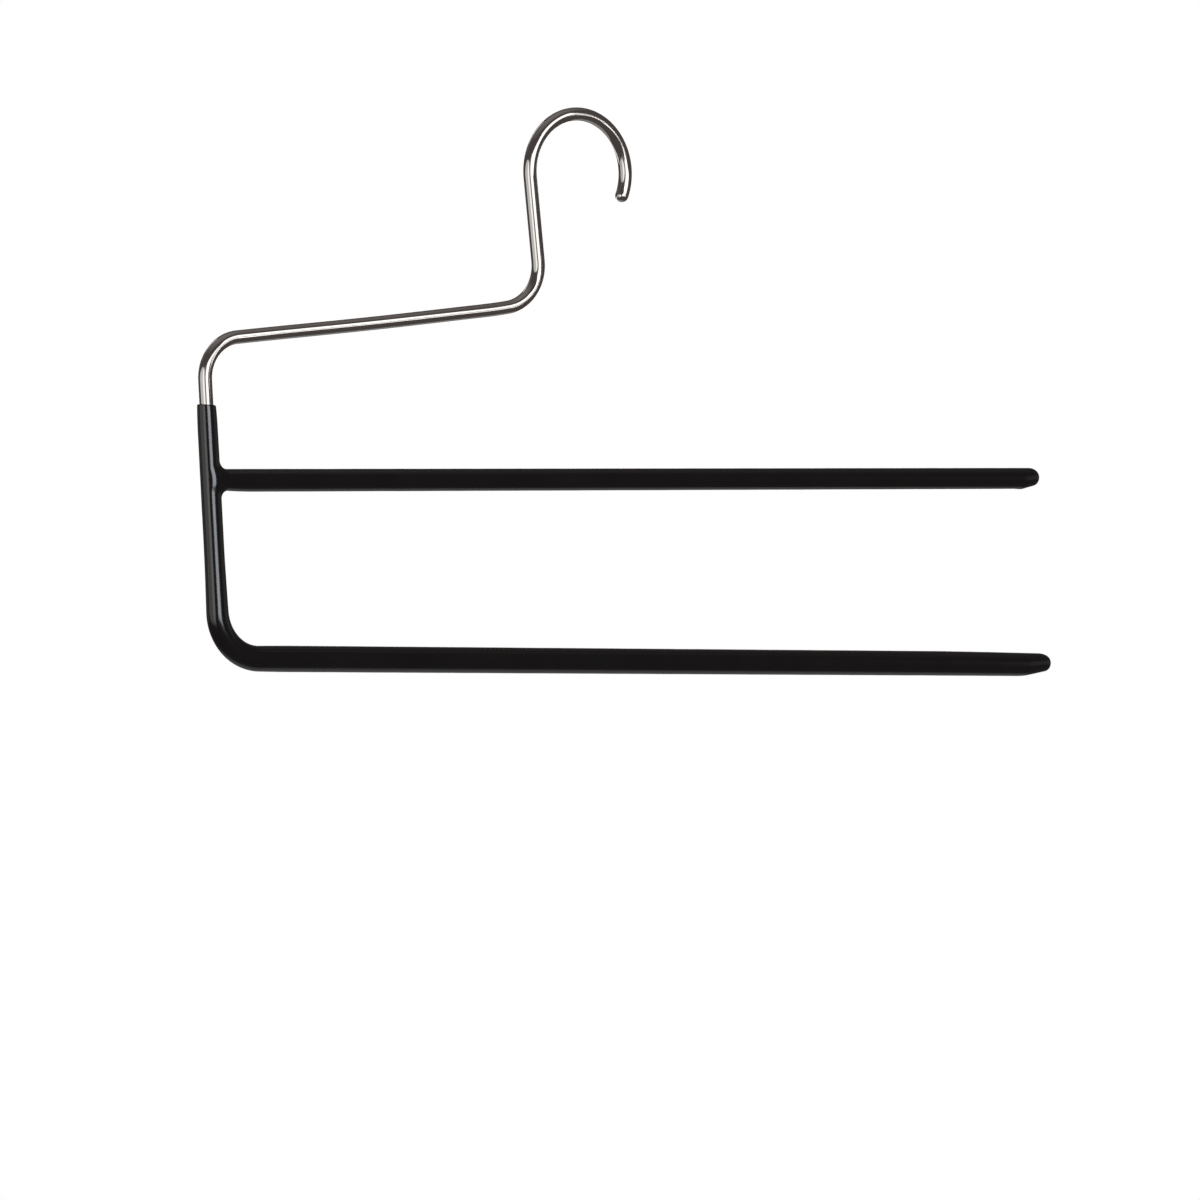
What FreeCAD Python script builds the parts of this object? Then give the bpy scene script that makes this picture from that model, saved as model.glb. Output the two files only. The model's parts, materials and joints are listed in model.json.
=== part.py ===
# Double rod pants hanger with open-ended rods.
# One bent wire is the hook, neck, arm, post and lower rod. A second wire, welded to the
# post, is the upper rod. One dipped vinyl coat covers the post's lower part and both rods.
#
# Millimetres and degrees. The hanger lies in the XZ plane and is the same on both sides of it.
# The origin is the inside of the hook's crown, where it bears on a rail. +X runs along the
# rods to their free tips and +Z is up.
import FreeCAD
import Part
import math
import os
from FreeCAD import Vector

# Wire, used for both lengths
WIRE_D = 4.6

# Hook and neck
HOOK_INNER_D = 34.8
HOOK_END_ANGLE = -22.0    # free end of the hook, about its centre from +X
NECK_LEAN = 6.5           # from upright, top towards -X
NECK_LENGTH = 28.6        # straight run between the hook and the bend
NECK_BEND_R = 14.0        # bend radii are at the wire's centre

# Arm from the neck down to the post
ARM_SLOPE = 5.8
ARM_LENGTH = 108.076      # straight run
ARM_BEND_R = 13.4

# Post, from the arm's bend down to the lower bend
POST_LEAN = 3.45          # from upright, top towards -X
POST_BARE_LENGTH = 7.875  # chrome that shows above the coat
COAT_ABOVE_UPPER_ROD = 24.65
POST_BELOW_UPPER_ROD = 42.958

# Rods
UPPER_ROD_LENGTH = 346.4  # from the post's axis to the coated tip
LOWER_BEND_R = 16.4
LOWER_ROD_DROOP = 1.38    # below level, towards the tip
LOWER_ROD_LENGTH = 333.387  # from the bend's end to the coated tip

# Coat: its wall on each stretch, over the wire
POST_WALL = 1.05
UPPER_ROD_WALL = 1.46
LOWER_ROD_WALL = 2.07

# Coat: upper rim on the post
RIM_WALL = 0.8
RIM_TAPER = 10.0          # length over which the wall grows to the post's
RIM_TILT = 6.0            # rim plane, lower towards +X
RIM_ROUND = 0.4

# Coat: T joint
ROOT_STEP = 0.3           # how much slimmer the upper rod starts than the post, on radius
ROOT_TAPER = 14.0         # from the post's axis to the upper rod's full size
JOINT_FILLET = 2.8
WELD_SINK = 0.3           # how far the upper rod's end is pressed into the post's side
WELD_COVER = 0.45         # coat left over the weld bead

# Coat: free tips, drained so that the underside rises towards the end
UPPER_TIP_TAPER = 6.5
UPPER_TIP_RISE = 1.2
LOWER_TIP_TAPER = 11.6
LOWER_TIP_RISE = 1.9
TIP_FLAT_R = 0.4          # what the tip's rounding leaves flat at its end
UPPER_TIP_COVER = 5.0     # from the wire's cut end to the coat's tip
LOWER_TIP_COVER = 6.0

WIRE_R = WIRE_D / 2
POST_COAT_R = WIRE_R + POST_WALL
UPPER_COAT_R = WIRE_R + UPPER_ROD_WALL
LOWER_COAT_R = WIRE_R + LOWER_ROD_WALL
RIM_COAT_R = WIRE_R + RIM_WALL
ROOT_COAT_R = POST_COAT_R - ROOT_STEP

# Headings of the wire as it leaves the hook, in the XZ plane from +X towards +Z
NECK_HEADING = 270.0 + NECK_LEAN
ARM_HEADING = 180.0 + ARM_SLOPE
POST_HEADING = 270.0 + POST_LEAN
LOWER_ROD_HEADING = 360.0 - LOWER_ROD_DROOP
UPPER_ROD_HEADING = 0.0


def direction(heading):
    """Unit vector in the hanger's plane."""
    return Vector(math.cos(math.radians(heading)), 0, math.sin(math.radians(heading)))


def arc(centre, radius, from_angle, to_angle):
    """Circular edge in the hanger's plane, about a centre."""
    middle_angle = (from_angle + to_angle) / 2
    points = [centre + direction(angle) * radius for angle in (from_angle, middle_angle, to_angle)]
    return Part.Arc(*points).toShape()


def bend(start, heading_in, heading_out, radius):
    """Tangent arc that turns the wire from one heading to the next: its edge and its end."""
    side = math.copysign(90.0, heading_out - heading_in)
    centre = start + direction(heading_in + side) * radius
    edge = arc(centre, radius, heading_in - side, heading_out - side)
    return edge, centre + direction(heading_out - side) * radius


def line(start, end):
    """Straight edge."""
    return Part.LineSegment(start, end).toShape()


def circle(centre, normal, radius):
    """Round section as a wire."""
    return Part.Wire(Part.makeCircle(radius, centre, normal))


# Places along the wire, from the hook's centre to the rods' tips
HOOK_CENTRE = Vector(0, 0, -HOOK_INNER_D / 2)
HOOK_R = HOOK_INNER_D / 2 + WIRE_R
NECK_TOP = HOOK_CENTRE + direction(NECK_HEADING - 90.0) * HOOK_R
NECK_FOOT = NECK_TOP + direction(NECK_HEADING) * NECK_LENGTH
NECK_BEND, ARM_START = bend(NECK_FOOT, NECK_HEADING, ARM_HEADING, NECK_BEND_R)
ARM_END = ARM_START + direction(ARM_HEADING) * ARM_LENGTH
ARM_BEND, POST_TOP = bend(ARM_END, ARM_HEADING, POST_HEADING, ARM_BEND_R)
RIM = POST_TOP + direction(POST_HEADING) * POST_BARE_LENGTH
JOINT = RIM + direction(POST_HEADING) * COAT_ABOVE_UPPER_ROD
POST_FOOT = JOINT + direction(POST_HEADING) * POST_BELOW_UPPER_ROD
LOWER_BEND, LOWER_ROD_START = bend(POST_FOOT, POST_HEADING, LOWER_ROD_HEADING, LOWER_BEND_R)
LOWER_TIP = LOWER_ROD_START + direction(LOWER_ROD_HEADING) * LOWER_ROD_LENGTH
UPPER_TIP = JOINT + direction(UPPER_ROD_HEADING) * UPPER_ROD_LENGTH


def frame_wire():
    """The bent wire, from the hook's rounded end to the cut end inside the lower rod's tip."""
    hook_end = HOOK_CENTRE + direction(HOOK_END_ANGLE) * HOOK_R
    rod_end = LOWER_TIP - direction(LOWER_ROD_HEADING) * LOWER_TIP_COVER
    path = Part.Wire([
        arc(HOOK_CENTRE, HOOK_R, HOOK_END_ANGLE, NECK_HEADING - 90.0),
        line(NECK_TOP, NECK_FOOT),
        NECK_BEND,
        line(ARM_START, ARM_END),
        ARM_BEND,
        line(POST_TOP, POST_FOOT),
        LOWER_BEND,
        line(LOWER_ROD_START, rod_end),
    ])
    along = direction(HOOK_END_ANGLE + 90.0)
    swept = path.makePipeShell([circle(hook_end, along, WIRE_R)], True, False)
    dome = Part.makeSphere(WIRE_R, hook_end, -along, 0, 90)
    return swept.fuse(dome).removeSplitter()


def upper_rod_wire(frame):
    """The straight wire, its cut end pressed a little way onto the post."""
    along = direction(UPPER_ROD_HEADING)
    start = WIRE_R - WELD_SINK
    length = UPPER_ROD_LENGTH - UPPER_TIP_COVER - start
    return Part.makeCylinder(WIRE_R, length, JOINT + along * start, along).cut(frame)


def t_joint_weld(frame, rod):
    """Weld bead all round the rod's end, slim enough to stay under the coat."""
    along = direction(UPPER_ROD_HEADING)
    leg = POST_WALL - WELD_COVER
    start = WIRE_R / 2
    bead = Part.makeCone(WIRE_R + leg, WIRE_R, WIRE_R + leg - start, JOINT + along * start, along)
    return bead.cut([frame, rod])


def post_sleeve():
    """Coat on the straight post, slimmer at its slightly tilted and rounded upper rim."""
    down = direction(POST_HEADING)
    trim = RIM_COAT_R
    growth = (POST_COAT_R - RIM_COAT_R) / RIM_TAPER
    taper = Part.makeCone(RIM_COAT_R - growth * trim, POST_COAT_R, trim + RIM_TAPER, RIM - down * trim, down)
    full_length = COAT_ABOVE_UPPER_ROD - RIM_TAPER + POST_BELOW_UPPER_ROD
    full = Part.makeCylinder(POST_COAT_R, full_length, RIM + down * RIM_TAPER, down)
    above_rim = Part.makeCylinder(2 * POST_COAT_R, 2 * trim, RIM, direction(90.0 - RIM_TILT))
    sleeve = taper.fuse(full).cut(above_rim)
    rim_edge = max(sleeve.Edges, key=lambda edge: edge.CenterOfMass.z)
    return sleeve.makeFillet(RIM_ROUND, [rim_edge])


def rod_sleeve(start, tip, heading, radius, tip_taper, tip_rise):
    """Coat on a straight rod with its drained tip: round, and rising on the underside."""
    along = direction(heading)
    taper_start = tip - along * tip_taper
    body = Part.makeCylinder(radius, (taper_start - start).Length, start, along)
    end_r = radius - tip_rise / 2
    end_centre = tip + direction(heading + 90.0) * (tip_rise / 2)
    sections = [circle(taper_start, along, radius), circle(end_centre, along, end_r)]
    nose = Part.makeLoft(sections, True, True)
    end_edge = max(nose.Edges, key=lambda edge: edge.CenterOfMass.dot(along))
    nose = nose.makeFillet(end_r - TIP_FLAT_R, [end_edge])
    return body.fuse(nose)


def joined_post_and_upper_rod():
    """Post sleeve and upper rod sleeve with the fillet that the coat forms in their corner."""
    along = direction(UPPER_ROD_HEADING)
    root = Part.makeCone(ROOT_COAT_R, UPPER_COAT_R, ROOT_TAPER, JOINT, along)
    tee = post_sleeve().fuse(root)
    reach = POST_COAT_R + ROOT_COAT_R
    corner = [edge for edge in tee.Edges
              if all((point - JOINT).Length < reach for point in edge.discretize(9))]
    tee = tee.makeFillet(JOINT_FILLET, corner)
    rod = rod_sleeve(JOINT + along * ROOT_TAPER, UPPER_TIP, UPPER_ROD_HEADING,
                     UPPER_COAT_R, UPPER_TIP_TAPER, UPPER_TIP_RISE)
    return tee.fuse(rod)


def lower_bend_sleeve():
    """Coat round the lower bend, growing from the post's wall to the lower rod's."""
    shell = Part.BRepOffsetAPI.MakePipeShell(Part.Wire(LOWER_BEND))
    shell.add(circle(POST_FOOT, direction(POST_HEADING), POST_COAT_R))
    shell.add(circle(LOWER_ROD_START, direction(LOWER_ROD_HEADING), LOWER_COAT_R))
    shell.build()
    shell.makeSolid()
    return shell.shape()


def vinyl_coating(cores):
    """The dipped skin: its outer shape less the wires and the weld inside it."""
    lower_rod = rod_sleeve(LOWER_ROD_START, LOWER_TIP, LOWER_ROD_HEADING,
                           LOWER_COAT_R, LOWER_TIP_TAPER, LOWER_TIP_RISE)
    outside = joined_post_and_upper_rod().fuse([lower_bend_sleeve(), lower_rod]).removeSplitter()
    return outside.cut(cores)


frame = frame_wire()
rod = upper_rod_wire(frame)
weld = t_joint_weld(frame, rod)
coat = vinyl_coating([frame, rod, weld])
nodes = {
    "frame_wire": frame,
    "upper_rod_wire": rod,
    "t_joint_weld": weld,
    "vinyl_coating": coat,
}

os.makedirs("parts", exist_ok=True)
for name, shape in nodes.items():
    print(name, shape.ShapeType, "solids", len(shape.Solids), "valid", shape.isValid(),
          "volume", round(shape.Volume, 2))
    shape.exportStep(f"parts/{name}.step")
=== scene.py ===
import json

import bpy
import numpy as np
from mathutils import Euler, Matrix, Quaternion, Vector


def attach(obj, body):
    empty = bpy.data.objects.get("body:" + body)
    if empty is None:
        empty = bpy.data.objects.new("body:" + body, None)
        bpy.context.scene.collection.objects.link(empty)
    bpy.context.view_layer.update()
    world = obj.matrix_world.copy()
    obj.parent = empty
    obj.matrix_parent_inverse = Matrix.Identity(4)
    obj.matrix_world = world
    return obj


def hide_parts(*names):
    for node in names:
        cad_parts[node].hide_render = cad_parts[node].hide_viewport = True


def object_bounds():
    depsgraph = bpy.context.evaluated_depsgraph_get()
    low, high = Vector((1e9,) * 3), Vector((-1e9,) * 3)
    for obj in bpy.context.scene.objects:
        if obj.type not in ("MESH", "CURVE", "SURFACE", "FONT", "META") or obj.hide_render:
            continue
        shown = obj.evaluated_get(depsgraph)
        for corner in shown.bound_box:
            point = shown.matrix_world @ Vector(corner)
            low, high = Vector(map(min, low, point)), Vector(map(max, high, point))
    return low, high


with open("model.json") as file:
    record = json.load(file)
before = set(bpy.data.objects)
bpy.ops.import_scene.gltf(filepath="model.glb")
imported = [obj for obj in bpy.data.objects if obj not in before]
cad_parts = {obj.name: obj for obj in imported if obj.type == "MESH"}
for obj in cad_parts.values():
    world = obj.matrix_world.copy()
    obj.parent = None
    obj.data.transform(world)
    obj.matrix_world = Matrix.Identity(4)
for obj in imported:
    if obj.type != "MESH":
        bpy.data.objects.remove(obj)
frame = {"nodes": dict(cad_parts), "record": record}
cad_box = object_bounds()


# Bent wire
# One length of chrome-plated steel wire, drawn round and bent cold in one plane: the hook, the
# neck, the sloping arm, the post and the core of the lower rod. The hook's end is rounded over
# and the other end is a plain cut inside the coat.
MM = 0.001                # lengths are in millimetres until a mesh or a material takes them
WIRE_R = 2.3
HOOK_INNER_R = 17.4
HOOK_X = -0.27            # the hook's centre, from the origin
HOOK_END_ANGLE = -22.0    # free end, about the hook's centre from +X
NECK_HEADING = 276.5      # headings in the hanger's plane, from +X towards +Z
NECK_LENGTH = 28.072
NECK_BEND_R = 14.0        # bend radii are at the wire's centre
NECK_EASE = 0.57          # how far the arm's slow start lifts the neck's bend
NECK_EASE_REACH = 6.0
ARM_HEADING = 185.8
ARM_LENGTH = 107.879
ARM_BOW = 0.25            # how far the arm's middle hangs below a straight line
ARM_BEND_R = 13.4
POST_HEADING = 273.45
POST_BARE_LENGTH = 7.875  # chrome that shows above the coat
COAT_ABOVE_JOINT = 24.65
POST_BELOW_JOINT = 42.958
LOWER_BEND_R = 16.4
LOWER_ROD_HEADING = 358.62
LOWER_ROD_LENGTH = 333.387  # from the bend's end to the coat's tip
LOWER_TIP_COVER = 6.0     # from the wire's cut end to the coat's tip
WIRE_COLUMNS = 64
DOME_RINGS = 12
BEND_STEP = 0.5
STRAIGHT_STEP = 3.0
LINE_STEP = 0.1
ALONG_Y = np.array([0.0, 1.0, 0.0])

HOOK_R = HOOK_INNER_R + WIRE_R
hook_start_heading = HOOK_END_ANGLE + 90.0
headings = np.radians([hook_start_heading, NECK_HEADING, NECK_HEADING, ARM_HEADING, ARM_HEADING,
                       POST_HEADING, POST_HEADING, LOWER_ROD_HEADING, LOWER_ROD_HEADING])
turns = np.abs(np.diff(headings))
hook_turn, neck_turn, arm_turn, lower_turn = turns[::2]
post_length = POST_BARE_LENGTH + COAT_ABOVE_JOINT + POST_BELOW_JOINT
run_lengths = np.array([
    HOOK_R * hook_turn, NECK_LENGTH, NECK_BEND_R * neck_turn, ARM_LENGTH,
    ARM_BEND_R * arm_turn, post_length, LOWER_BEND_R * lower_turn, LOWER_ROD_LENGTH])

# Stations, marked S, are lengths along the wire from the hook's end
run_ends = np.concatenate([[0.0], np.cumsum(run_lengths)])
_, _, _, ARM_START_S, _, POST_TOP_S, POST_FOOT_S, LOWER_ROD_S, LOWER_TIP_S = run_ends
WIRE_END_S = LOWER_TIP_S - LOWER_TIP_COVER


def ahead(heading):
    """Unit vectors in the hanger's plane at headings in radians: cosine along X, sine along Z."""
    return np.stack([np.cos(heading), 0 * heading, np.sin(heading)], -1)


def left_of(heading):
    """Unit vectors in the hanger's plane, a quarter turn to the left of headings in radians."""
    return np.stack([-np.sin(heading), 0 * heading, np.cos(heading)], -1)


def bell(distance, reach):
    """Bell curve: the exponential of minus the square of distance over reach."""
    return np.exp(-(distance / reach) ** 2)


line_stations = np.arange(0.0, LOWER_TIP_S + LINE_STEP, LINE_STEP)
arm_share = np.clip((line_stations - ARM_START_S) / ARM_LENGTH, 0.0, 1.0)
arm_bow = ARM_BOW * np.pi / ARM_LENGTH * np.sin(2 * np.pi * arm_share)
neck_ease = (NECK_EASE / (NECK_EASE_REACH * np.sqrt(np.pi))
             * bell(line_stations - ARM_START_S, NECK_EASE_REACH))
line_heading = np.interp(line_stations, run_ends, headings) + arm_bow + neck_ease
line_steps = ahead(line_heading)
hook_centre = np.array([HOOK_X, 0.0, -HOOK_INNER_R])
hook_end = hook_centre + HOOK_R * ahead(np.radians(HOOK_END_ANGLE))
line_centres = hook_end + LINE_STEP * np.concatenate(
    [np.zeros((1, 3)), np.cumsum((line_steps[:-1] + line_steps[1:]) / 2, axis=0)])


def wire_line(stations):
    """Centre and heading of the wire at lengths along it. The heading turns evenly in each bend
    and stays on each straight, plus the arm's slow bow and a bell curve where the neck's bend runs
    out into the arm. The centre is the running sum of small steps along the heading."""
    centre = np.stack([np.interp(stations, line_stations, line_centres[:, k]) for k in range(3)], -1)
    return centre, np.interp(stations, line_stations, line_heading)


def spaced(start, end, step):
    """Stations from start up to but not including end, evenly spaced by about a step."""
    return np.linspace(start, end, max(2, round((end - start) / step)), endpoint=False)


def round_angles(columns):
    """Even angles once round."""
    return 2 * np.pi * np.arange(columns) / columns


def rings(centre, heading, radius, columns, lift=0.0, lead=0.0, lean=0.0):
    """Rings round a line in the hanger's plane. The point at angle a is the centre, plus lift and
    radius times cos a to the line's left, radius times sin a along +Y, and lead and lean times
    radius times cos a ahead along the line. All of them may vary from ring to ring, and the radius
    also round each ring."""
    def column(value):
        return np.broadcast_to(np.asarray(value, float).reshape(-1, 1), (len(heading), 1))
    angle = round_angles(columns)
    reach = radius if np.ndim(radius) == 2 else column(radius)
    across = (column(lift) + reach * np.cos(angle))[..., None]
    aside = (reach * np.sin(angle))[..., None]
    forward = (column(lead) + column(lean) * reach * np.cos(angle))[..., None]
    return (centre[:, None] + across * left_of(heading)[:, None] + aside * ALONG_Y
            + forward * ahead(heading)[:, None])


def ring_faces(number):
    """Quads from each ring of vertex numbers to the next, closed round it and facing outwards."""
    here, following = number[:-1], number[1:]
    corners = [here, following, np.roll(following, -1, 1), np.roll(here, -1, 1)]
    return np.stack(corners, -1).reshape(-1, 4)


def end_fan(ring, point):
    """Triangles that close a tube's last ring on one end point."""
    return np.stack([ring, np.full_like(ring, point), np.roll(ring, -1)], -1)


def make_piece(name, points, face_groups):
    """Smooth mesh object at the origin, from points in millimetres and arrays of quads or triangles."""
    mesh = bpy.data.meshes.new(name)
    faces = [face for group in face_groups for face in group.tolist()]
    mesh.from_pydata((points * MM).tolist(), [], faces)
    mesh.shade_smooth()
    piece = bpy.data.objects.new(name, mesh)
    bpy.context.scene.collection.objects.link(piece)
    return piece


# The wire's mesh: a dome on the hook's end, then rings along the wire to its cut end
wire_runs = zip(run_ends[:-1], run_ends[1:], turns)
wire_stations = np.concatenate(
    [spaced(start, min(end, WIRE_END_S), BEND_STEP if turn else STRAIGHT_STEP)
     for start, end, turn in wire_runs] + [[WIRE_END_S]])
dome_angles = np.radians(np.linspace(0, 90, DOME_RINGS, endpoint=False)[1:])
ring_stations = np.concatenate([np.zeros(len(dome_angles)), wire_stations])
ring_radius = np.concatenate([WIRE_R * np.sin(dome_angles), np.full(len(wire_stations), WIRE_R)])
ring_lead = np.concatenate([-WIRE_R * np.cos(dome_angles), np.zeros(len(wire_stations))])

wire_centres, wire_headings = wire_line(ring_stations)
wire_rings = rings(wire_centres, wire_headings, ring_radius, WIRE_COLUMNS, lead=ring_lead)
wire_number = np.arange(wire_rings.shape[0] * WIRE_COLUMNS).reshape(-1, WIRE_COLUMNS)
hook_pole = hook_end - WIRE_R * line_steps[0]
cut_end = wire_centres[-1]
wire_points = np.concatenate([wire_rings.reshape(-1, 3), [hook_pole, cut_end]])
pole_number = wire_number.size
wire = make_piece("bent_wire", wire_points, [
    ring_faces(wire_number),
    end_fan(wire_number[0], pole_number)[:, ::-1],
    end_fan(wire_number[-1], pole_number + 1)])

# The wire's own coordinates, kept on its mesh: length along it, then place across it
wire_angle = round_angles(WIRE_COLUMNS)
wire_places = np.stack(np.broadcast_arrays(
    (ring_stations + ring_lead)[:, None], ring_radius[:, None] * np.cos(wire_angle),
    ring_radius[:, None] * np.sin(wire_angle)), -1).reshape(-1, 3)
wire_places = np.concatenate([wire_places, [[-WIRE_R, 0, 0], [WIRE_END_S, 0, 0]]])
wire.data.attributes.new("along_wire", "FLOAT_VECTOR", "POINT").data.foreach_set(
    "vector", (wire_places * MM).astype(np.float32).ravel())

# Chrome: its patterns in waves per metre, its colours where the haze is least and most
DRAW_LINES = (18.0, 2600.0, 2600.0)
DRAW_LINE_DEPTH = 0.0008
CHROME_HAZE = 45.0
CHROME_CLEAR = (0.585, 0.572, 0.556)
CHROME_HAZY = (0.625, 0.615, 0.600)
CHROME_ROUGHNESS = (0.045, 0.08)
NOISE_LOW, NOISE_HIGH = 0.3, 0.7  # most of a noise's values lie between these


def make_material(name):
    """New node material, with its node tree and its shader."""
    material = bpy.data.materials.new(name)
    material.use_nodes = True
    return material, material.node_tree, material.node_tree.nodes["Principled BSDF"]


def noise(tree, place, scale, detail=2.0):
    """Noise over a place, already stretched or not, with scale in waves per metre."""
    node = tree.nodes.new("ShaderNodeTexNoise")
    node.inputs["Scale"].default_value = scale
    node.inputs["Detail"].default_value = detail
    tree.links.new(place, node.inputs["Vector"])
    return node.outputs["Fac"]


def stretched(tree, place, scale):
    """A place scaled by different amounts along its three axes."""
    node = tree.nodes.new("ShaderNodeMapping")
    node.inputs["Scale"].default_value = scale
    tree.links.new(place, node.inputs["Vector"])
    return node.outputs["Vector"]


def between(tree, share, low, high):
    """A noise's share, taken over the middle of its range, as a value between low and high."""
    node = tree.nodes.new("ShaderNodeMapRange")
    node.inputs["From Min"].default_value = NOISE_LOW
    node.inputs["From Max"].default_value = NOISE_HIGH
    node.inputs["To Min"].default_value = low
    node.inputs["To Max"].default_value = high
    tree.links.new(share, node.inputs["Value"])
    return node.outputs["Result"]


def tinted(tree, share, stops):
    """Colour ramp over a share, from stops of (place, colour) in rising order."""
    node = tree.nodes.new("ShaderNodeValToRGB")
    ramp = node.color_ramp
    for place, _ in stops[1:-1]:
        ramp.elements.new(place)
    for element, (place, colour) in zip(ramp.elements, stops):
        element.position = place
        element.color = (*colour, 1.0)
    tree.links.new(share, node.inputs["Fac"])
    return node.outputs["Color"]


def bumps(tree, height, depth, under=None):
    """Bump of a given depth in millimetres, on top of another one if there is one."""
    node = tree.nodes.new("ShaderNodeBump")
    node.inputs["Strength"].default_value = 1.0
    node.inputs["Distance"].default_value = depth * MM
    tree.links.new(height, node.inputs["Height"])
    if under is not None:
        tree.links.new(under, node.inputs["Normal"])
    return node.outputs["Normal"]


def chrome_plate(name, along):
    """Bright chrome on drawn wire: draw lines that run along it, soft patches of handling haze."""
    material, tree, shader = make_material(name)
    place = along(tree)
    draw_lines = noise(tree, stretched(tree, place, DRAW_LINES), scale=1.0, detail=3.0)
    haze = noise(tree, place, CHROME_HAZE, detail=4.0)
    shade = tinted(tree, haze, [(NOISE_LOW, CHROME_CLEAR), (NOISE_HIGH, CHROME_HAZY)])
    tree.links.new(shade, shader.inputs["Base Color"])
    tree.links.new(between(tree, haze, *CHROME_ROUGHNESS), shader.inputs["Roughness"])
    tree.links.new(bumps(tree, draw_lines, DRAW_LINE_DEPTH), shader.inputs["Normal"])
    shader.inputs["Metallic"].default_value = 1.0
    return material


def along_wire(tree):
    """The bent wire's own coordinates, from its mesh."""
    node = tree.nodes.new("ShaderNodeAttribute")
    node.attribute_name = "along_wire"
    return node.outputs["Vector"]


wire.data.materials.append(chrome_plate("bright_chrome", along_wire))
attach(wire, "root")
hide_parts("frame_wire")


# Upper rod's core
# A straight length of the same plated wire, its cut end pressed on the post. It is all under the
# coat, so the built solid stays, with the plate's finish laid along +X.
def object_place(tree):
    """The object's own coordinates."""
    return tree.nodes.new("ShaderNodeTexCoord").outputs["Object"]


upper_core = frame["nodes"]["upper_rod_wire"]
upper_core.data.materials.clear()
upper_core.data.materials.append(chrome_plate("rod_core_chrome", object_place))


# Weld bead
# The ring of weld that fixes the upper rod's core to the post, left as welded under the coat: dull
# grey steel with a straw and blue heat tint and fine ripples round the bead.
WELD_HEAT = 700.0         # waves per metre
WELD_GREY = (0.30, 0.29, 0.28)
WELD_STRAW = (0.42, 0.36, 0.26)
WELD_BLUE = (0.26, 0.28, 0.36)
WELD_TINTS = [(0.30, WELD_GREY), (0.52, WELD_STRAW), (0.75, WELD_BLUE)]
WELD_ROUGHNESS = (0.35, 0.6)
WELD_RIPPLES = 2600.0     # waves per metre
WELD_RIPPLE_STRETCH = (3.0, 1.0, 1.0)
WELD_RIPPLE_DEPTH = 0.03

weld_material, tree, shader = make_material("weld_bead")
place = object_place(tree)
heat = noise(tree, place, WELD_HEAT, detail=3.0)
ripples = noise(tree, stretched(tree, place, WELD_RIPPLE_STRETCH), WELD_RIPPLES)
tree.links.new(tinted(tree, heat, WELD_TINTS), shader.inputs["Base Color"])
tree.links.new(between(tree, heat, *WELD_ROUGHNESS), shader.inputs["Roughness"])
tree.links.new(bumps(tree, ripples, WELD_RIPPLE_DEPTH), shader.inputs["Normal"])
shader.inputs["Metallic"].default_value = 1.0
weld = frame["nodes"]["t_joint_weld"]
weld.data.materials.clear()
weld.data.materials.append(weld_material)


# Dipped coat
# One skin of soft black vinyl, dipped over the post's lower part, the T joint, the lower bend and
# both rods and cured as it drained: thin at its rim, filled in the corners of the joint, thickest
# on the lower rod, and drawn up at the underside of both tips.
mounts = {mount["name"]: mount for mount in frame["record"]["mounts"]}
UPPER_COAT_R = mounts["upper_rod"]["dims"]["r_mm"]
LOWER_COAT_R = mounts["lower_rod"]["dims"]["r_mm"]
POST_COAT_R = 3.35
RIM_COAT_R = 3.1
RIM_FACE_R = 2.55         # a ring on the rim's flat face
RIM_ROUND = 0.38
RIM_GROWTH = 4.0          # length over which most of the post's wall is reached
RIM_TILT = 7.0            # from square to the post, lower towards the rods
RIM_TILT_FADE = 10.0      # length over which the skin's rings come back to square
BORE_PLAY = 0.02          # between a wire and the coat
BORE_R = WIRE_R + BORE_PLAY
BEND_SWELL = (-23.3, 36.7)  # where the wall grows, from the start of the lower bend
ROOT_THINNING = 0.26      # how much slimmer the upper rod starts, on radius
ROOT_REACH = 8.5
LOWER_DRAIN = 0.28        # how much slimmer the lower rod ends, on radius
LOWER_DRAIN_REACH = 55.0
LOWER_DRAIN_POWER = 1.5
UPPER_ROD_LENGTH = 346.4  # from the post's axis to the tip
UPPER_TIP_COVER = 5.0     # from the wire's cut end to the coat's tip
JOINT_FILLET = 3.0
WELD_ROOM = 1.7           # fillet of the bore, which clears the weld
PARALLEL_FILL = 0.08      # share of the fillet that is left where the two skins run the same way
BRANCH_START = 1.5        # the upper rod's round start, from the post's axis
TIP_POWER = 2.35          # 2 is a true ellipse, more is blunter
TIP_SOFT = 0.25           # how softly a tip's rise joins the rod's underside
COAT_COLUMNS = 72
WINDOW = 24               # rows and columns of the post's skin that open into the upper rod
JOINT_WINDOW = 4.6        # half height of that opening
BORE_WINDOW = 3.2         # half height of the bore's
ROOT_END = 7.2            # where the upper rod's skin is round again, from the post's axis
ROOT_RINGS = 12
JOINT_REACH = 15.0        # how far from the joint its fillet may move the skin
SETTLING_STEPS = 8
SLOPE_STEP = 0.001        # over which a surface's slope is measured
ALONG_X = np.array([1.0, 0.0, 0.0])

RIM_S = POST_TOP_S + POST_BARE_LENGTH
JOINT_S = RIM_S + COAT_ABOVE_JOINT
joint = wire_line(np.array([JOINT_S]))[0][0]
down_post = ahead(np.radians(POST_HEADING))
branch_columns = 4 * WINDOW


def eased(value, start, end):
    """Smooth step from 0 at start to 1 at end: three times the share's square less twice its cube."""
    share = np.clip((value - start) / (end - start), 0.0, 1.0)
    return share * share * (3 - 2 * share)


def lower_drain(back):
    """How much the lower rod slims at a distance back from its tip: a power of the share left. The
    rod is also lowered by as much, so that all of it shows on the top."""
    return LOWER_DRAIN * np.clip(1 - back / LOWER_DRAIN_REACH, 0, 1) ** LOWER_DRAIN_POWER


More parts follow.
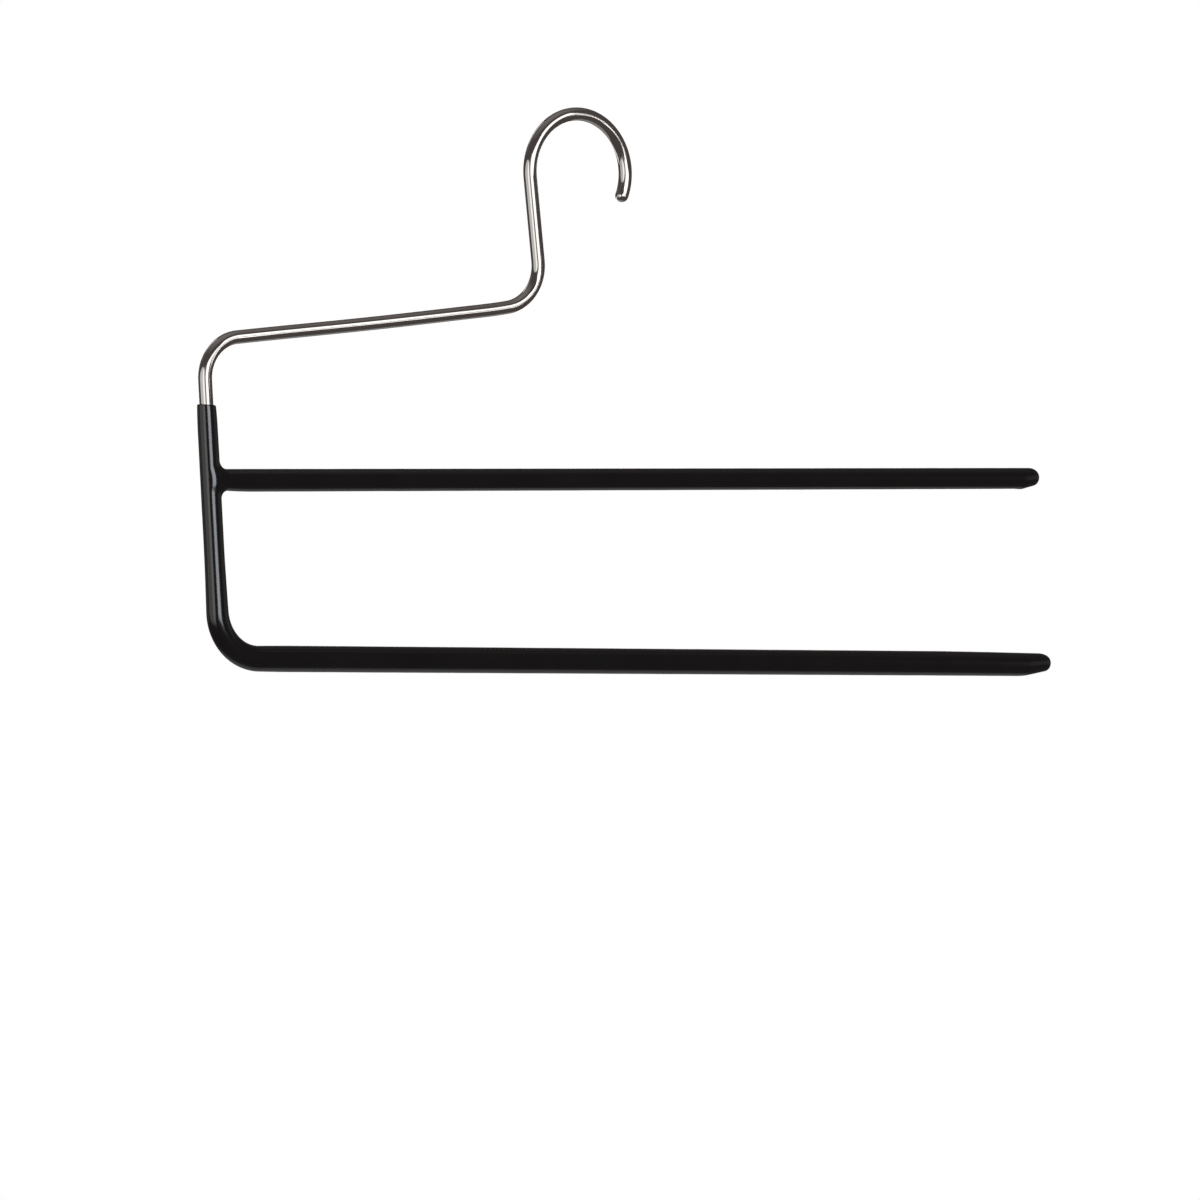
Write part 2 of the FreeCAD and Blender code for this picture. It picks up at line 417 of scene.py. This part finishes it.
def stem_radius(station):
    """Coat on the post, bend and lower rod: it grows from the rim like a settling curve, swells
    through the bend and slims towards the tip."""
    post = POST_COAT_R - (POST_COAT_R - RIM_COAT_R) * np.exp(-(station - RIM_S) / RIM_GROWTH)
    swell = eased(station - POST_FOOT_S, *BEND_SWELL)
    return post + (LOWER_COAT_R - POST_COAT_R) * swell - lower_drain(LOWER_TIP_S - station)


def root_thinning(from_joint):
    """How much the upper rod slims at its root: a bell curve of the distance from the post's axis.
    The rod is also lifted by as much, so that all of it shows on the underside."""
    return ROOT_THINNING * bell(from_joint, ROOT_REACH)


def branch_radius(from_joint):
    """Coat on the upper rod, slim at its root."""
    return UPPER_COAT_R - root_thinning(from_joint)


def rounded(share):
    """Quarter of a slightly square ellipse, from 0 at the tip to 1 where the rounding ends."""
    return (1 - (1 - np.clip(share, 0, 1)) ** TIP_POWER) ** (1 / TIP_POWER)


def drained_tip(back, radius, end_lift, top_round, under_round, under_depth, under_slope):
    """Radius and lift of the rings of a tip, back from its end. The top is a quarter ellipse. The
    underside is a straight rise from the full radius to under_depth at the end, softly joined and
    rounded over at the end. A ring spans from one to the other."""
    rise = under_depth + under_slope * back
    depth = (rise + radius - np.sqrt((rise - radius) ** 2 + TIP_SOFT ** 2)) / 2
    top = end_lift + (radius - end_lift) * rounded(back / top_round)
    under = end_lift - (end_lift + depth) * rounded(back / under_round)
    return (top - under) / 2, (top + under) / 2


def joint_height(points, stem_size, branch_size, branch_lift, fillet, parallel_fill):
    """Height of points over the joined skin of post and upper rod. a and b are the heights over the
    two tubes, the second with a round start. Within the fillet's radius f of both, it is f less the
    root of (f - a)^2 + (f - b)^2, a round fillet. The fillet shrinks to a share where both tubes
    face the same way."""
    from_joint = points - joint
    along = from_joint @ down_post
    stem_arm = from_joint - along[:, None] * down_post
    branch_arm = from_joint - np.maximum(from_joint[:, :1], BRANCH_START) * ALONG_X
    branch_arm[:, 2] -= branch_lift(from_joint[:, 0])
    stem_length = np.linalg.norm(stem_arm, axis=1)
    branch_length = np.linalg.norm(branch_arm, axis=1)
    a = stem_length - stem_size(JOINT_S + along)
    b = branch_length - branch_size(np.maximum(from_joint[:, 0], 0.0))
    agreement = np.sum(stem_arm * branch_arm, axis=1) / (stem_length * branch_length)
    crossing = np.sqrt(np.clip(1 - agreement ** 2, 0, 1))
    f = fillet * (parallel_fill + (1 - parallel_fill) * crossing)
    corner = np.hypot(np.maximum(f - a, 0), np.maximum(f - b, 0))
    return np.maximum(f, np.minimum(a, b)) - corner


def settled(points, height):
    """Points near the joint moved onto the surface where height is 0, by Newton steps: each goes
    down the slope by height over the slope's square."""
    near = np.linalg.norm(points - joint, axis=1) < JOINT_REACH
    moved = points[near]
    for _ in range(SETTLING_STEPS):
        slope = np.stack([height(moved + SLOPE_STEP * axis) - height(moved - SLOPE_STEP * axis)
                          for axis in np.eye(3)], -1) / (2 * SLOPE_STEP)
        moved = moved - (height(moved) / np.sum(slope ** 2, axis=1))[:, None] * slope
    points[near] = moved
    return points


def window_row(stations, half_height):
    """Number of the ring at the top of the opening for the upper rod."""
    return np.abs(stations - (JOINT_S - half_height)).argmin()


def tee_skin(stem, first_row, branch, stem_end, branch_end, height):
    """Skin of a stem tube and a branch tube that grows out of a window in its side. The window's
    edge is the branch's first ring, straight blends lead from it to the branch's own rings, and all
    that is near the joint settles onto the joined surface. Returns its points, its quads, the
    triangles that close both ends, and the stem's first ring."""
    rows, columns, _ = stem.shape
    number = np.arange(rows * columns).reshape(rows, columns)
    last_row = first_row + WINDOW
    half = WINDOW // 2
    side = np.arange(-half, half + 1)
    edge = np.concatenate([
        number[first_row, side[half:]],
        number[first_row + 1:last_row + 1, half],
        number[last_row, side[-2::-1]],
        number[first_row:last_row, -half][::-1],
        number[first_row, side[1:half]]])
    start = stem.reshape(-1, 3)[edge]
    shares = np.arange(1, ROOT_RINGS + 1)[:, None, None] / (ROOT_RINGS + 1)
    branch = np.concatenate([start + (branch[0] - start) * shares, branch])
    branch_rows, around, _ = branch.shape
    branch_number = number.size + np.arange(branch_rows * around).reshape(branch_rows, around)
    points = np.concatenate([stem.reshape(-1, 3), branch.reshape(-1, 3)])
    stem_end_number = len(points)
    points = np.concatenate([settled(points, height), [stem_end, branch_end]])
    closed = np.ones((rows - 1, columns), bool)
    closed[first_row:last_row, side[:-1]] = False
    stem_quads = ring_faces(number)[closed.ravel()]
    branch_quads = ring_faces(np.concatenate([edge[None], branch_number]))
    ends = np.concatenate([end_fan(number[-1], stem_end_number),
                           end_fan(branch_number[-1], stem_end_number + 1)])
    return points, np.concatenate([stem_quads, branch_quads]), ends, number[0]


def along_branch(from_joint):
    """Centre and heading of the straight upper rod at distances from the post's axis."""
    return joint + from_joint[:, None] * ALONG_X, np.zeros(len(from_joint))


# Outer skin: rim, post, bend, lower rod and its tip
LOWER_TIP_SIZES = dict(
    end_lift=1.05, top_round=5.2, under_round=2.0, under_depth=2.0, under_slope=0.19)
TIP_LENGTH = 14.0
TIP_RINGS = 26
TIP_STEP = 0.35
LIP_RINGS = 7
RIM_STEP = 1.0            # from the rim to the next ring below its lip
POST_STEP = 0.9
NEAR_JOINT = 11.0         # rings are closer together this near to the joint
NEAR_JOINT_STEP = 0.4
LOWER_BEND_STEP = 0.6
ROD_STEP = 2.4

lip_angles = np.radians(np.linspace(90, 0, LIP_RINGS))
lip_radius = np.concatenate(
    [[BORE_R, RIM_FACE_R], RIM_COAT_R - RIM_ROUND * (1 - np.cos(lip_angles))])
lip_stations = RIM_S + np.concatenate([[0.0, 0.0], RIM_ROUND * (1 - np.sin(lip_angles))])
tip_angles = np.radians(np.linspace(90, 0, TIP_RINGS, endpoint=False))
tip_back = LOWER_TIP_SIZES["top_round"] * (1 - np.cos(tip_angles))
outer_stations = np.concatenate([
    lip_stations,
    spaced(RIM_S + RIM_STEP, JOINT_S - NEAR_JOINT, POST_STEP),
    spaced(JOINT_S - NEAR_JOINT, JOINT_S - JOINT_WINDOW, NEAR_JOINT_STEP),
    np.linspace(JOINT_S - JOINT_WINDOW, JOINT_S + JOINT_WINDOW, WINDOW + 1),
    spaced(JOINT_S + JOINT_WINDOW + NEAR_JOINT_STEP, JOINT_S + NEAR_JOINT, NEAR_JOINT_STEP),
    spaced(JOINT_S + NEAR_JOINT, POST_FOOT_S, POST_STEP),
    spaced(POST_FOOT_S, LOWER_ROD_S, LOWER_BEND_STEP),
    spaced(LOWER_ROD_S, LOWER_TIP_S - TIP_LENGTH, ROD_STEP),
    spaced(LOWER_TIP_S - TIP_LENGTH, LOWER_TIP_S - tip_back[0], TIP_STEP),
    LOWER_TIP_S - tip_back])
outer_back = LOWER_TIP_S - outer_stations
tip_radius, tip_lift = drained_tip(outer_back, stem_radius(outer_stations), **LOWER_TIP_SIZES)
in_tip = outer_back < TIP_LENGTH
outer_radius = np.where(in_tip, tip_radius, stem_radius(outer_stations))
outer_radius[:len(lip_radius)] = lip_radius
outer_lift = np.where(in_tip, tip_lift, 0.0) - lower_drain(outer_back)
rim_lean = np.tan(np.radians(RIM_TILT))
outer_lean = rim_lean * (1 - eased(outer_stations, RIM_S, RIM_S + RIM_TILT_FADE))
outer_centres, outer_heading = wire_line(outer_stations)
outer_stem = rings(outer_centres, outer_heading, outer_radius, COAT_COLUMNS,
                   lift=outer_lift, lean=outer_lean)
(lower_axis_end,), (lower_heading,) = wire_line(np.array([LOWER_TIP_S]))
lower_end = lower_axis_end + (LOWER_TIP_SIZES["end_lift"] - LOWER_DRAIN) * left_of(lower_heading)

# Outer skin: upper rod, with the drip that hung on as the coat set, and its tip
UPPER_TIP_SIZES = dict(
    end_lift=0.364, top_round=4.4, under_round=2.2, under_depth=2.31, under_slope=0.215)
DRIP_BACK = 7.8           # from the tip's end
DRIP_LENGTH = 1.7
DRIP_DEPTH = 0.17
DRIP_POWER = 3            # more is narrower round the underside
NEAR_POST = 20.0          # rings are closer together this near to the post's axis
NEAR_POST_STEP = 0.5

branch_stations = np.concatenate([
    spaced(ROOT_END, NEAR_POST, NEAR_POST_STEP),
    spaced(NEAR_POST, UPPER_ROD_LENGTH - TIP_LENGTH, ROD_STEP),
    spaced(UPPER_ROD_LENGTH - TIP_LENGTH, UPPER_ROD_LENGTH - tip_back[0], TIP_STEP),
    UPPER_ROD_LENGTH - tip_back])
branch_back = UPPER_ROD_LENGTH - branch_stations
tip_radius, tip_lift = drained_tip(branch_back, branch_radius(branch_stations), **UPPER_TIP_SIZES)
in_tip = branch_back < TIP_LENGTH
drip = DRIP_DEPTH * bell(branch_back - DRIP_BACK, DRIP_LENGTH)
underside = ((1 - np.cos(round_angles(branch_columns))) / 2) ** DRIP_POWER
outer_branch_radius = (np.where(in_tip, tip_radius, branch_radius(branch_stations))[:, None]
                       + drip[:, None] * underside)
outer_branch = rings(*along_branch(branch_stations), outer_branch_radius, branch_columns,
                     lift=np.where(in_tip, tip_lift, root_thinning(branch_stations)))
upper_end = joint + np.array([UPPER_ROD_LENGTH, 0.0, UPPER_TIP_SIZES["end_lift"]])

outer_points, outer_quads, outer_ends, outer_rim = tee_skin(
    outer_stem, window_row(outer_stations, JOINT_WINDOW), outer_branch, lower_end, upper_end,
    lambda points: joint_height(points, stem_radius, branch_radius, root_thinning,
                                JOINT_FILLET, PARALLEL_FILL))

# Bore: the wires' own shape inside the coat, opened out round the weld
BORE_STEP = 0.8
BORE_ROD_STEP = 8.0
BORE_WINDOW_GAP = 0.5     # from the opening to the next ring below it

bore_stations = np.concatenate([
    [RIM_S],
    spaced(RIM_S + RIM_STEP, JOINT_S - BORE_WINDOW, BORE_STEP),
    np.linspace(JOINT_S - BORE_WINDOW, JOINT_S + BORE_WINDOW, WINDOW + 1),
    spaced(JOINT_S + BORE_WINDOW + BORE_WINDOW_GAP, POST_FOOT_S, BORE_STEP),
    spaced(POST_FOOT_S, LOWER_ROD_S, BORE_STEP),
    spaced(LOWER_ROD_S, WIRE_END_S, BORE_ROD_STEP),
    [WIRE_END_S]])
bore_lean = np.where(bore_stations == RIM_S, rim_lean, 0.0)
bore_centres, bore_heading = wire_line(bore_stations)
bore_stem = rings(bore_centres, bore_heading, BORE_R, COAT_COLUMNS, lean=bore_lean)
upper_core_end = UPPER_ROD_LENGTH - UPPER_TIP_COVER
core_stations = np.concatenate([spaced(ROOT_END, upper_core_end, BORE_ROD_STEP), [upper_core_end]])
core_centres, core_heading = along_branch(core_stations)
bore_branch = rings(core_centres, core_heading, BORE_R, branch_columns)


def bore_size(station):
    """The bore's radius, the same all along."""
    return np.full_like(station, BORE_R)


bore_points, bore_quads, bore_ends, bore_rim = tee_skin(
    bore_stem, window_row(bore_stations, BORE_WINDOW), bore_branch, bore_centres[-1], core_centres[-1],
    lambda points: joint_height(points, bore_size, bore_size, np.zeros_like, WELD_ROOM, 1.0))

# Both skins as one closed piece: the bore turned inside out and sewn to the rim's ring
bore_number = len(outer_points) + np.arange(len(bore_points))
bore_number[bore_rim] = outer_rim
both_points = np.concatenate([outer_points, bore_points])
coat_groups = [outer_quads, outer_ends,
               bore_number[bore_quads][:, ::-1], bore_number[bore_ends][:, ::-1]]
used = np.unique(np.concatenate([group.ravel() for group in coat_groups]))
renumber = np.zeros(len(both_points), int)
renumber[used] = np.arange(len(used))
coat_points = both_points[used]
coat = make_piece("dipped_coat", coat_points, [renumber[group] for group in coat_groups])

# Slow unevenness of the drained skin: the mean of four sine waves, pressed in along the normals
WAVE_DEPTH = 0.035
WAVES = np.array([[0.31, 0.17, 0.12], [0.13, -0.23, 0.29], [-0.19, 0.11, 0.47], [0.53, 0.29, -0.08]])
WAVE_PHASES = np.array([0.4, 1.9, 3.1, 5.2])

on_skin = used < len(outer_points)
normals = np.empty(len(used) * 3, np.float32)
coat.data.vertex_normals.foreach_get("vector", normals)
wave = np.sin(coat_points @ WAVES.T + WAVE_PHASES).mean(axis=1)
waved_points = coat_points + (on_skin * WAVE_DEPTH * (wave - 1) / 2)[:, None] * normals.reshape(-1, 3)
coat.data.vertices.foreach_set("co", (waved_points * MM).astype(np.float32).ravel())
coat.data.update()

# Vinyl: its patterns in waves per metre, its colours where the clouding is least and most
VINYL_CLOUDS = 70.0
VINYL_DEEP = (0.0050, 0.0048, 0.0050)
VINYL_CLOUDY = (0.0070, 0.0066, 0.0069)
VINYL_ROUGHNESS = (0.15, 0.19)
VINYL_SPECULAR = 0.75
ORANGE_PEEL = 620.0
ORANGE_PEEL_DEPTH = 0.003
VINYL_GRAIN = 4200.0
VINYL_GRAIN_DEPTH = 0.0003

vinyl, tree, shader = make_material("black_vinyl")
place = object_place(tree)
clouds = noise(tree, place, VINYL_CLOUDS, detail=3.0)
orange_peel = noise(tree, place, ORANGE_PEEL, detail=1.0)
grain = noise(tree, place, VINYL_GRAIN)
shade = tinted(tree, clouds, [(NOISE_LOW, VINYL_DEEP), (NOISE_HIGH, VINYL_CLOUDY)])
peeled = bumps(tree, orange_peel, ORANGE_PEEL_DEPTH)
tree.links.new(shade, shader.inputs["Base Color"])
tree.links.new(between(tree, clouds, *VINYL_ROUGHNESS), shader.inputs["Roughness"])
tree.links.new(bumps(tree, grain, VINYL_GRAIN_DEPTH, peeled), shader.inputs["Normal"])
shader.inputs["Specular IOR Level"].default_value = VINYL_SPECULAR
coat.data.materials.append(vinyl)
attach(coat, "root")
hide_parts("vinyl_coating")


# Floor
# A plain pale table top some way below the hanger, which hangs free. Its edge fades away, so the
# white room behind it has no line across it.
FLOOR_CENTRE = np.array([230.0, 490.0, -650.0])
FLOOR_R = 580.0
FLOOR_FADE = 120.0        # width of the edge that fades away
FLOOR_RINGS = 40
FLOOR_COLUMNS = 96
FLOOR_MOTTLE = 9.0        # waves per metre
FLOOR_DUSTY = (0.788, 0.788, 0.77815)
FLOOR_PALE = (0.80, 0.80, 0.79)
FLOOR_ROUGHNESS = 0.8
FLOOR_GLOW = 0.74         # what the camera sees on top of the floor's own light, so that it is pale
FLOOR_MIRRORED = 0.2      # share of that glow in mirror rays

floor_reach = np.linspace(0, FLOOR_R, FLOOR_RINGS)[1:, None]
floor_angle = round_angles(FLOOR_COLUMNS)
floor_rings = FLOOR_CENTRE + np.stack(np.broadcast_arrays(
    floor_reach * np.cos(floor_angle), floor_reach * np.sin(floor_angle), 0.0), -1)
floor_points = np.concatenate([floor_rings.reshape(-1, 3), [FLOOR_CENTRE]])
floor_number = np.arange(len(floor_points) - 1).reshape(-1, FLOOR_COLUMNS)
floor = make_piece("floor", floor_points, [
    ring_faces(floor_number), end_fan(floor_number[0], len(floor_points) - 1)[:, ::-1]])


def computed(tree, operation, *values):
    """Math node on outputs or plain numbers."""
    node = tree.nodes.new("ShaderNodeMath")
    node.operation = operation
    for socket, value in zip(node.inputs, values):
        if isinstance(value, float):
            socket.default_value = value
        else:
            tree.links.new(value, socket)
    return node.outputs["Value"]


def seen_rays(tree, mirror_share):
    """1 for rays from the camera, and a share for those off metal or through glass."""
    rays = tree.nodes.new("ShaderNodeLightPath").outputs
    mirrored = computed(tree, "MAXIMUM", rays["Is Glossy Ray"], rays["Is Transmission Ray"])
    shared = computed(tree, "MULTIPLY", mirrored, mirror_share)
    return computed(tree, "MAXIMUM", rays["Is Camera Ray"], shared)


floor_material, tree, shader = make_material("pale_floor")
place = object_place(tree)
mottle = noise(tree, place, FLOOR_MOTTLE, detail=3.0)
shade = tinted(tree, mottle, [(NOISE_LOW, FLOOR_DUSTY), (NOISE_HIGH, FLOOR_PALE)])
tree.links.new(shade, shader.inputs["Base Color"])
shader.inputs["Roughness"].default_value = FLOOR_ROUGHNESS
reach = tree.nodes.new("ShaderNodeVectorMath")
reach.operation = "DISTANCE"
reach.inputs[1].default_value = tuple(FLOOR_CENTRE * MM)
tree.links.new(place, reach.inputs[0])
fade = tree.nodes.new("ShaderNodeMapRange")
fade.interpolation_type = "SMOOTHSTEP"
fade.inputs["From Min"].default_value = (FLOOR_R - FLOOR_FADE) * MM
fade.inputs["From Max"].default_value = FLOOR_R * MM
fade.inputs["To Min"].default_value = 1.0
fade.inputs["To Max"].default_value = 0.0
tree.links.new(reach.outputs["Value"], fade.inputs["Value"])
tree.links.new(fade.outputs["Result"], shader.inputs["Alpha"])
shader.inputs["Emission Color"].default_value = (1.0, 1.0, 1.0, 1.0)
seen_glow = computed(tree, "MULTIPLY", seen_rays(tree, FLOOR_MIRRORED), FLOOR_GLOW)
tree.links.new(seen_glow, shader.inputs["Emission Strength"])
floor.data.materials.append(floor_material)


# Studio light
# Soft upright panels round the hanger: a key to the right of the camera, a fill and a strip to its
# left, cards by the arm and weaker panels at the sides and behind. Plate and vinyl have their own
# sets but for two high behind. The room is dim and warm, with a white backdrop for mirror rays.
VIEW_AZIMUTH = -35.43     # how far the camera stands round from the hanger's front
LIGHT_DISTANCE = 2.2      # metres
CARD_DISTANCE = 0.7
LAMP_WHITE = (1.0, 0.99, 0.97)
LAMP_BLUE = (0.89, 0.94, 1.0)
ROOM_LEVEL = (0.090, 0.078, 0.074)
ROOM_ABOVE = (0.24, 0.22, 0.215)
ROOM_ABOVE_FROM = 0.7     # height in the room's unit sphere from which it gets lighter
BACKDROP_HALF_ANGLE = 16.0

low_corner, high_corner = (np.array(corner) for corner in cad_box)
hanger_centre = (low_corner + high_corner) / 2
arm_middle = line_centres[int((ARM_START_S + ARM_LENGTH / 2) / LINE_STEP)] * MM


def facing(turn):
    """Level direction from the hanger, turned to the right of the camera's place by so many degrees."""
    angle = np.radians(VIEW_AZIMUTH + turn)
    return Vector((np.sin(angle), -np.cos(angle), 0.0))


def receivers(name, *pieces):
    """Collection of the pieces that a set of panels lights."""
    group = bpy.data.collections.new(name)
    for piece in pieces:
        group.objects.link(piece)
    return group


def panel(name, lit, radiance, turns, rises, colour=LAMP_WHITE, shape="RECTANGLE",
          centre=hanger_centre, distance=LIGHT_DISTANCE, tilt=0.0):
    """Upright light that faces a centre and is seen from there between two turns and two rises in
    degrees, and tilted in its own plane with its top to the right. A panel's power is pi times its
    area times its radiance."""
    middle = facing(sum(turns) / 2)
    width = 2 * distance * np.tan(np.radians((turns[1] - turns[0]) / 2))
    bottom, top = (distance * np.tan(np.radians(rise)) for rise in rises)
    light = bpy.data.lights.new(name, "AREA")
    light.shape = shape
    light.size = width
    light.size_y = top - bottom
    area = width * (top - bottom) * (np.pi / 4 if shape == "ELLIPSE" else 1.0)
    light.energy = np.pi * area * radiance
    light.color = colour
    lamp = bpy.data.objects.new(name, light)
    bpy.context.scene.collection.objects.link(lamp)
    lamp.location = Vector(centre) + distance * middle + Vector((0, 0, (bottom + top) / 2))
    upright = (-middle).to_track_quat("-Z", "Y")
    lamp.rotation_euler = (upright @ Quaternion((0, 0, 1), np.radians(tilt))).to_euler()
    lamp.visible_camera = False
    lamp.light_linking.receiver_collection = lit


on_coat = receivers("on_coat", coat)
on_coat_and_floor = receivers("on_coat_and_floor", coat, floor)
on_plate = receivers("on_plate", wire)
on_hanger = receivers("on_hanger", wire, coat)


def arm_card(name, radiance, turns, rises, tilt=0.0):
    """Small panel for the plate alone, nearer to the hanger and placed about the arm's middle."""
    panel(name, on_plate, radiance, turns, rises, centre=arm_middle, distance=CARD_DISTANCE, tilt=tilt)


panel("coat_key", on_coat_and_floor, radiance=5.0, turns=(9, 38), rises=(-9, 21), colour=LAMP_BLUE)
panel("coat_strip", on_coat_and_floor, radiance=0.9, turns=(-42, -19), rises=(-22, 17), shape="ELLIPSE")
panel("coat_fill", on_coat_and_floor, radiance=0.7, turns=(-86, -19), rises=(-21, 19.5), shape="ELLIPSE")
panel("coat_right", on_coat, radiance=0.14, turns=(80, 125), rises=(-14, 14))
panel("coat_left", on_coat, radiance=0.14, turns=(-125, -92), rises=(-14, 14))

panel("plate_key", on_plate, radiance=1.8, turns=(8, 48), rises=(-9, 21))
panel("plate_between", on_plate, radiance=0.18, turns=(-11, 8), rises=(-20, 19))
panel("plate_strip", on_plate, radiance=0.7, turns=(-38, -11), rises=(-22, 17), shape="ELLIPSE")
panel("plate_fill", on_plate, radiance=0.7, turns=(-86, -11), rises=(-21, 19.5), shape="ELLIPSE")
arm_card("arm_card_top", radiance=1.9, turns=(48, 75), rises=(6.1, 32), tilt=7.5)
arm_card("arm_card_middle", radiance=2.6, turns=(60, 78), rises=(-0.2, 2.2))
arm_card("arm_card_foot", radiance=2.6, turns=(60, 78), rises=(-7, -3.4))
arm_card("arm_card_left", radiance=2.2, turns=(62, 66.5), rises=(-13, -7))

panel("back_high", on_hanger, radiance=1.1, turns=(217, 229), rises=(24, 50))
panel("back_side", on_hanger, radiance=0.06, turns=(229, 266), rises=(22, 52))
panel("back_low", on_plate, radiance=1.1, turns=(168, 262), rises=(-28, -12))
panel("back_level", on_plate, radiance=0.8, turns=(160, 200), rises=(-12, 18))

# The room: its own light for the pieces, and white for the camera and for mirror rays to the backdrop
world = bpy.data.worlds.new("studio")
bpy.context.scene.world = world
world.use_nodes = True
tree = world.node_tree
background = tree.nodes["Background"]
direction = tree.nodes.new("ShaderNodeTexCoord").outputs["Generated"]
upward = tree.nodes.new("ShaderNodeSeparateXYZ")
tree.links.new(direction, upward.inputs["Vector"])
room = tinted(tree, upward.outputs["Z"], [(ROOM_ABOVE_FROM, ROOM_LEVEL), (1.0, ROOM_ABOVE)])
behind = tree.nodes.new("ShaderNodeVectorMath")
behind.operation = "DOT_PRODUCT"
behind.inputs[1].default_value = -facing(0.0)
tree.links.new(direction, behind.inputs[0])
backdrop_edge = float(np.cos(np.radians(BACKDROP_HALF_ANGLE)))
backdrop = computed(tree, "GREATER_THAN", behind.outputs["Value"], backdrop_edge)
seen = tree.nodes.new("ShaderNodeMix")
seen.data_type = "RGBA"
seen.inputs["B"].default_value = (1.0, 1.0, 1.0, 1.0)
tree.links.new(seen_rays(tree, backdrop), seen.inputs["Factor"])
tree.links.new(room, seen.inputs["A"])
tree.links.new(seen.outputs["Result"], background.inputs["Color"])
background.inputs["Strength"].default_value = 1.0


# Camera
# A long lens a little over two metres away, at about the upper rod's height and turned down
# slightly. It stands to the left of the hanger's front, so the rods run away from it to the right.
CAMERA_PLACE = (-1.24908, -1.76822, -0.11329)  # metres
VIEW_ELEVATION = 1.285
LENS = 192.0
SENSOR = 36.0

camera_data = bpy.data.cameras.new("camera")
camera_data.lens = LENS
camera_data.sensor_width = SENSOR
camera = bpy.data.objects.new("camera", camera_data)
bpy.context.scene.collection.objects.link(camera)
camera.location = CAMERA_PLACE
camera.rotation_euler = Euler((np.radians(90 - VIEW_ELEVATION), 0.0, np.radians(VIEW_AZIMUTH)))
bpy.context.scene.camera = camera
bpy.context.scene.view_settings.view_transform = "Standard"
